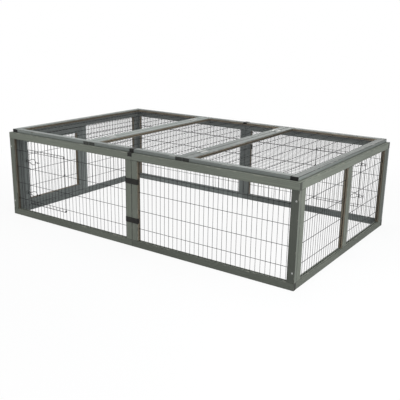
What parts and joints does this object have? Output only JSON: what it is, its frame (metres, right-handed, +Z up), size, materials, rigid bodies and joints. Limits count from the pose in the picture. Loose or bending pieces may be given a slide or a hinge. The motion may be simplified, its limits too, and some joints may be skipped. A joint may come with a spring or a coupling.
{
  "type": "outdoor rabbit run",
  "caption": "Low rectangular pen of grey green timber frames filled with welded wire mesh, with a folding mesh lid and wire doors held by slide bolts.",
  "frame": {"origin": "on the ground under the middle of the run", "axes": "+Z up, +X to the right along the front wall, +Y from the front to the back"},
  "size_m": [1.78, 1.105, 0.4988],
  "materials": {
    "wall_timber": "grey green glaze, sawn and lightly planed",
    "lid_timber": "grey green glaze, sawn and lightly planed",
    "mesh_wire": "dark coated welded wire",
    "door_wire": "dark coated bent wire",
    "zinc_steel": "zinc plated steel",
    "black_strip": "black coated steel strip"
  },
  "bodies": {
    "run": {"front_left_top_rail": "wall_timber", "front_left_bottom_rail": "wall_timber", "front_left_corner_stile": "wall_timber", "front_right_top_rail": "wall_timber", "front_right_bottom_rail": "wall_timber", "front_right_corner_stile": "wall_timber", "back_left_top_rail": "wall_timber", "back_left_bottom_rail": "wall_timber", "back_left_corner_stile": "wall_timber", "back_right_top_rail": "wall_timber", "back_right_bottom_rail": "wall_timber", "back_right_corner_stile": "wall_timber", "front_middle_stiles": "wall_timber", "back_middle_stiles": "wall_timber", "left_end_top_rail": "wall_timber", "left_end_bottom_rail": "wall_timber", "left_end_front_stile": "wall_timber", "left_end_back_stile": "wall_timber", "left_end_centre_stile": "wall_timber", "right_end_top_rail": "wall_timber", "right_end_bottom_rail": "wall_timber", "right_end_front_stile": "wall_timber", "right_end_back_stile": "wall_timber", "right_end_centre_stile": "wall_timber", "left_panel_rails": "wall_timber", "left_panel_stiles": "wall_timber", "left_panel_mesh": "mesh_wire", "front_left_mesh": "mesh_wire", "front_right_mesh": "mesh_wire", "back_left_mesh": "mesh_wire", "back_right_mesh": "mesh_wire", "left_end_mesh": "mesh_wire", "right_end_mesh": "mesh_wire", "lid_middle_cross_rails": "lid_timber", "lid_middle_left_rail": "lid_timber", "lid_middle_right_rail": "lid_timber", "lid_middle_mesh": "mesh_wire", "lid_middle_hinge_leaves": "zinc_steel", "lid_hinge_pins": "zinc_steel", "door_hinge_rings": "door_wire", "bolt_keepers": "door_wire", "post_clips": "black_strip", "lid_clips": "black_strip", "wood_screws": "zinc_steel"},
    "lid_left": {"lid_left_cross_rails": "lid_timber", "lid_left_outer_rail": "lid_timber", "lid_left_inner_rail": "lid_timber", "lid_left_mesh": "mesh_wire", "lid_left_hinge_leaves": "zinc_steel"},
    "lid_right": {"lid_right_cross_rails": "lid_timber", "lid_right_outer_rail": "lid_timber", "lid_right_inner_rail": "lid_timber", "lid_right_mesh": "mesh_wire", "lid_right_hinge_leaves": "zinc_steel"},
    "front_door_leaf": {"front_door": "door_wire"},
    "back_door_leaf": {"back_door": "door_wire"},
    "front_upper_slide": {"front_upper_bolt": "door_wire"},
    "front_lower_slide": {"front_lower_bolt": "door_wire"},
    "back_upper_slide": {"back_upper_bolt": "door_wire"},
    "back_lower_slide": {"back_lower_bolt": "door_wire"}
  },
  "joints": [
    {"name": "lid_left_fold", "type": "hinge", "parent": "run", "child": "lid_left", "pos_m": [-0.292, 0, 0.4956], "axis": [0, 1, 0], "range_deg": [0, 115]},
    {"name": "lid_right_fold", "type": "hinge", "parent": "run", "child": "lid_right", "pos_m": [0.292, 0, 0.4956], "axis": [0, -1, 0], "range_deg": [0, 115]},
    {"name": "front_door_swing", "type": "hinge", "parent": "run", "child": "front_door_leaf", "pos_m": [-0.47025, -0.54588, 0.237], "axis": [0, 0, 1], "range_deg": [0, 170]},
    {"name": "back_door_swing", "type": "hinge", "parent": "run", "child": "back_door_leaf", "pos_m": [0.47025, 0.54588, 0.237], "axis": [0, 0, 1], "range_deg": [0, 170]},
    {"name": "front_upper_bolt_slide", "type": "slide", "parent": "front_door_leaf", "child": "front_upper_slide", "axis": [-1, 0, 0], "range_m": [0, 0.012]},
    {"name": "front_lower_bolt_slide", "type": "slide", "parent": "front_door_leaf", "child": "front_lower_slide", "axis": [-1, 0, 0], "range_m": [0, 0.012]},
    {"name": "back_upper_bolt_slide", "type": "slide", "parent": "back_door_leaf", "child": "back_upper_slide", "axis": [1, 0, 0], "range_m": [0, 0.012]},
    {"name": "back_lower_bolt_slide", "type": "slide", "parent": "back_door_leaf", "child": "back_lower_slide", "axis": [1, 0, 0], "range_m": [0, 0.012]}
  ]
}
